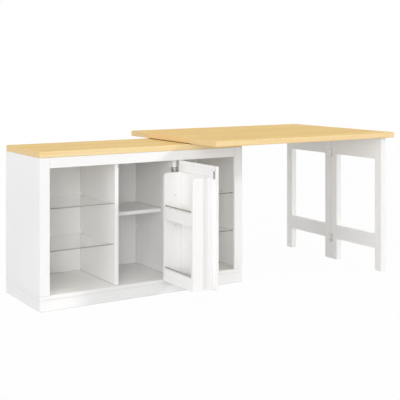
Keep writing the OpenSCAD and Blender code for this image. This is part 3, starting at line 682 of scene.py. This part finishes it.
class ISLAND_OT_hinge_screws(bpy.types.Operator):
    """Screw the leaves of all hinges to the wood"""
    bl_idname = "island.hinge_screws"
    bl_label = "Hinge Screws"

    def execute(self, context):
        fittings = settings()[1]
        head = {"rings": sunk_head(fittings), "segments": fittings.segments}

        mesh = bmesh.new()
        low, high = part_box("door_hinge_frame_leaves")
        edge_x = low.x + LEAF_THICKNESS + DOOR_SCREW_ACROSS
        side_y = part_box("divider_right")[0].y
        reach = ACROSS_SHARE * (high.y - side_y)
        for centre in hinge_middles("door_hinge_frame_leaves", DOOR_HINGE_HEIGHT):
            for share in (-OUTER_SHARE, OUTER_SHARE):
                z = centre + share * DOOR_HINGE_HEIGHT
                add_screw(mesh, Vector((edge_x, side_y - LEAF_THICKNESS, z)), -Y_AXIS, **head)
                add_screw(mesh, Vector((low.x, side_y + reach, z)), -X_AXIS, **head)
        finish_piece(mesh, "door_hinge_frame_screws", CABINET, "satin_steel")

        mesh = bmesh.new()
        low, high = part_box("door_panel")
        panel_x = (low.x + high.x) / 2
        for centre in hinge_middles("door_hinge_door_leaves", DOOR_HINGE_HEIGHT):
            for share in (-OUTER_SHARE, OUTER_SHARE):
                z = centre + share * DOOR_HINGE_HEIGHT
                add_screw(mesh, Vector((panel_x, high.y + LEAF_THICKNESS, z)), Y_AXIS, **head)
        finish_piece(mesh, "door_hinge_door_screws", DOOR, "satin_steel")

        leg_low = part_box("fixed_leg_inner")[0]
        seam_y = leg_low.y - SEAM / 2
        halves = ((1, "frame_hinge_fixed_leaves", TABLE, "frame_hinge_fixed_screws"),
                  (-1, "frame_hinge_gate_leaves", GATE, "frame_hinge_gate_screws"))
        for side, leaves, body, name in halves:
            mesh = bmesh.new()
            y = seam_y + side * (SEAM / 2 + ACROSS_SHARE * FRAME_LEAF_WIDTH)
            for centre in hinge_middles(leaves, FRAME_HINGE_HEIGHT):
                for share in (-OUTER_SHARE, 0.0, OUTER_SHARE):
                    z = centre + share * FRAME_HINGE_HEIGHT
                    add_screw(mesh, Vector((leg_low.x, y, z)), -X_AXIS, **head)
            finish_piece(mesh, name, body, "satin_steel")
        return {"FINISHED"}


class ISLAND_OT_bracket_screws(bpy.types.Operator):
    """Screw the leg frame's brackets to the apron and the table top"""
    bl_idname = "island.bracket_screws"
    bl_label = "Bracket Screws"

    def execute(self, context):
        fittings = settings()[1]
        rings = domed_head(fittings)
        low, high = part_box("frame_brackets")
        half = (high.x - low.x) / 2
        mesh = bmesh.new()
        for y in (low.y + BRACKET_WIDTH / 2, (low.y + high.y) / 2, high.y - BRACKET_WIDTH / 2):
            under_top = Vector((low.x + half, y, high.z - BRACKET_WALL))
            on_apron = Vector((low.x + BRACKET_WALL, y, high.z - half))
            add_screw(mesh, under_top, -Z_AXIS, rings, fittings.segments)
            add_screw(mesh, on_apron, X_AXIS, rings, fittings.segments)
        finish_piece(mesh, "frame_bracket_screws", TABLE, "satin_steel")
        return {"FINISHED"}


class ISLAND_OT_rack_covers(bpy.types.Operator):
    """Cover the fittings that hold the rack's side boards"""
    bl_idname = "island.rack_covers"
    bl_label = "Rack Covers"

    def execute(self, context):
        fittings = settings()[1]
        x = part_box("door_panel")[0].x - COVER_FROM_DOOR
        far_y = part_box("rack_side_far")[0].y
        near_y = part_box("rack_side_near")[1].y
        mesh = bmesh.new()
        for y, outward in ((far_y, -Y_AXIS), (near_y, Y_AXIS)):
            for z in COVER_HEIGHTS:
                add_cover(mesh, Vector((x, y, z)), outward, fittings.cover, fittings.cover_height,
                          fittings.segments)
        finish_piece(mesh, "rack_fitting_covers", DOOR, "pale_nylon")
        return {"FINISHED"}


class ISLAND_OT_slot_sleeve(bpy.types.Operator):
    """Line the door's finger slot with a thin grey sleeve"""
    bl_idname = "island.slot_sleeve"
    bl_label = "Slot Sleeve"

    def execute(self, context):
        looks, fittings, _ = settings()
        low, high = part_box("door_panel")
        centre = Vector((low.x, low.y + SLOT_FROM_EDGE, high.z - SLOT_FROM_TOP))
        radius = SLOT_WIDTH / 2
        stretch = SLOT_HEIGHT / 2 - radius
        mesh = bmesh.new()
        bmesh.ops.create_circle(mesh, segments=fittings.segments * 2, radius=radius)
        for half in (-1, 1):
            end = [v for v in mesh.verts if v.co.y * half > SAME_PLACE]
            bmesh.ops.translate(mesh, verts=end, vec=(0, half * stretch, 0))
        level = [v for v in mesh.verts if abs(v.co.y) <= SAME_PLACE]
        bmesh.ops.dissolve_verts(mesh, verts=level)
        far_end, _ = draw_out(mesh, mesh.edges[:])
        bmesh.ops.translate(mesh, verts=far_end, vec=(0, 0, high.x - low.x))
        bmesh.ops.recalc_face_normals(mesh, faces=mesh.faces)
        bmesh.ops.solidify(mesh, geom=mesh.faces[:], thickness=fittings.sleeve)
        # The slot's width lies along Y, its height along Z and its depth along X
        turn = Matrix(((0, 0, 1), (1, 0, 0), (0, 1, 0))).to_4x4()
        bmesh.ops.transform(mesh, matrix=Matrix.Translation(centre) @ turn, verts=mesh.verts)
        # The sleeve's grey makes the slot's walls darker than the white door round it
        finish_piece(mesh, "finger_slot_sleeve", DOOR, "pale_nylon",
                     moulded_nylon("sleeve_nylon", looks.sleeve))
        return {"FINISHED"}


def stage_floor():
    """A pale floor that looks white, with a little of the object's shadow on it. It can be looked
    through from below."""
    material = bpy.data.materials.new("stage_floor")
    nodes = Nodes(material, "ShaderNodeOutputMaterial")
    matt = nodes.fill(nodes.add("ShaderNodeBsdfDiffuse"), Color=FLOOR_TINT)
    white = nodes.add("ShaderNodeEmission")
    above = nodes.white_to_the_eye(white.outputs["Emission"], matt.outputs["BSDF"],
                                   FLOOR_WHITE_SHARE)
    below = nodes.add("ShaderNodeBsdfTransparent")
    side = nodes.add("ShaderNodeNewGeometry")
    nodes.join(nodes.blend(side.outputs["Backfacing"], above, below.outputs["BSDF"]),
               nodes.output.inputs["Surface"])
    return material


def stage_world(ambient):
    """An even light that looks white."""
    world = bpy.data.worlds.new("studio")
    nodes = Nodes(world, "ShaderNodeOutputWorld")
    light = nodes.fill(nodes.add("ShaderNodeBackground"), Color=SKY_TINT, Strength=ambient)
    white = nodes.fill(nodes.add("ShaderNodeBackground"), Color=WHITE)
    nodes.join(nodes.white_to_the_eye(white.outputs["Background"], light.outputs["Background"]),
               nodes.output.inputs["Surface"])
    bpy.context.scene.world = world


def add_lamp(name, energy, spread, tint, source):
    """A far lamp that shines from the direction of source towards the origin."""
    lamp = bpy.data.lights.new(name, "SUN")
    lamp.energy = energy
    lamp.angle = math.radians(spread)
    lamp.color = tint
    holder = bpy.data.objects.new(name, lamp)
    holder.rotation_euler = Vector(source).to_track_quat("Z", "Y").to_euler()
    holder.location = Vector(source) * LAMP_DISTANCE
    bpy.context.scene.collection.objects.link(holder)


class ISLAND_OT_studio(bpy.types.Operator):
    """Set up the floor, the lights and the camera"""
    bl_idname = "island.studio"
    bl_label = "Studio"

    def execute(self, context):
        stage = settings()[2]
        mesh = bmesh.new()
        bmesh.ops.create_grid(mesh, x_segments=1, y_segments=1, size=stage.floor_width / 2)
        data = bpy.data.meshes.new("floor")
        mesh.to_mesh(data)
        mesh.free()
        data.materials.append(stage_floor())
        floor = bpy.data.objects.new("floor", data)
        context.scene.collection.objects.link(floor)
        floor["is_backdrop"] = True

        stage_world(stage.ambient)
        for name, spread, tint, source in LAMPS:
            add_lamp(name, getattr(stage, name), spread, tint, source)
        context.scene.view_settings.view_transform = "Standard"

        camera = bpy.data.cameras.new("camera")
        camera.sensor_width = SENSOR_WIDTH
        camera.lens = stage.lens
        camera.shift_y = -stage.shift_down
        holder = bpy.data.objects.new("camera", camera)
        holder.location = stage.camera_place
        holder.rotation_euler = (math.radians(90), 0, -stage.heading)
        context.scene.collection.objects.link(holder)
        context.scene.camera = holder
        return {"FINISHED"}


STEPS = [ISLAND_OT_finish_boards, ISLAND_OT_finish_fittings, ISLAND_OT_hinge_screws,
         ISLAND_OT_bracket_screws, ISLAND_OT_rack_covers, ISLAND_OT_slot_sleeve,
         ISLAND_OT_studio]


class ISLAND_PT_panel(bpy.types.Panel):
    """Lists the steps that dress the island, and their sizes, colours and strengths"""
    bl_idname = "ISLAND_PT_panel"
    bl_label = "Kitchen Island Table"
    bl_space_type = "VIEW_3D"
    bl_region_type = "UI"
    bl_category = "Island"

    def draw(self, context):
        for step in STEPS:
            self.layout.operator(step.bl_idname)
        for group in settings():
            box = self.layout.box()
            for name in group.__annotations__:
                box.prop(group, name)


CLASSES = [IslandFinishes, IslandFittings, IslandStage, *STEPS, ISLAND_PT_panel]


def register():
    for item in CLASSES:
        bpy.utils.register_class(item)
    bpy.types.Scene.island_finishes = PointerProperty(type=IslandFinishes)
    bpy.types.Scene.island_fittings = PointerProperty(type=IslandFittings)
    bpy.types.Scene.island_stage = PointerProperty(type=IslandStage)


def unregister():
    del bpy.types.Scene.island_stage
    del bpy.types.Scene.island_fittings
    del bpy.types.Scene.island_finishes
    for item in reversed(CLASSES):
        bpy.utils.unregister_class(item)


def corners():
    """The lowest and highest corner of all that is shown."""
    return [list(corner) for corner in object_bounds()]


def main():
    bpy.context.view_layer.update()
    register()
    for step in STEPS:
        group, name = step.bl_idname.split(".")
        getattr(getattr(bpy.ops, group), name)()


if __name__ == "__main__":
    main()
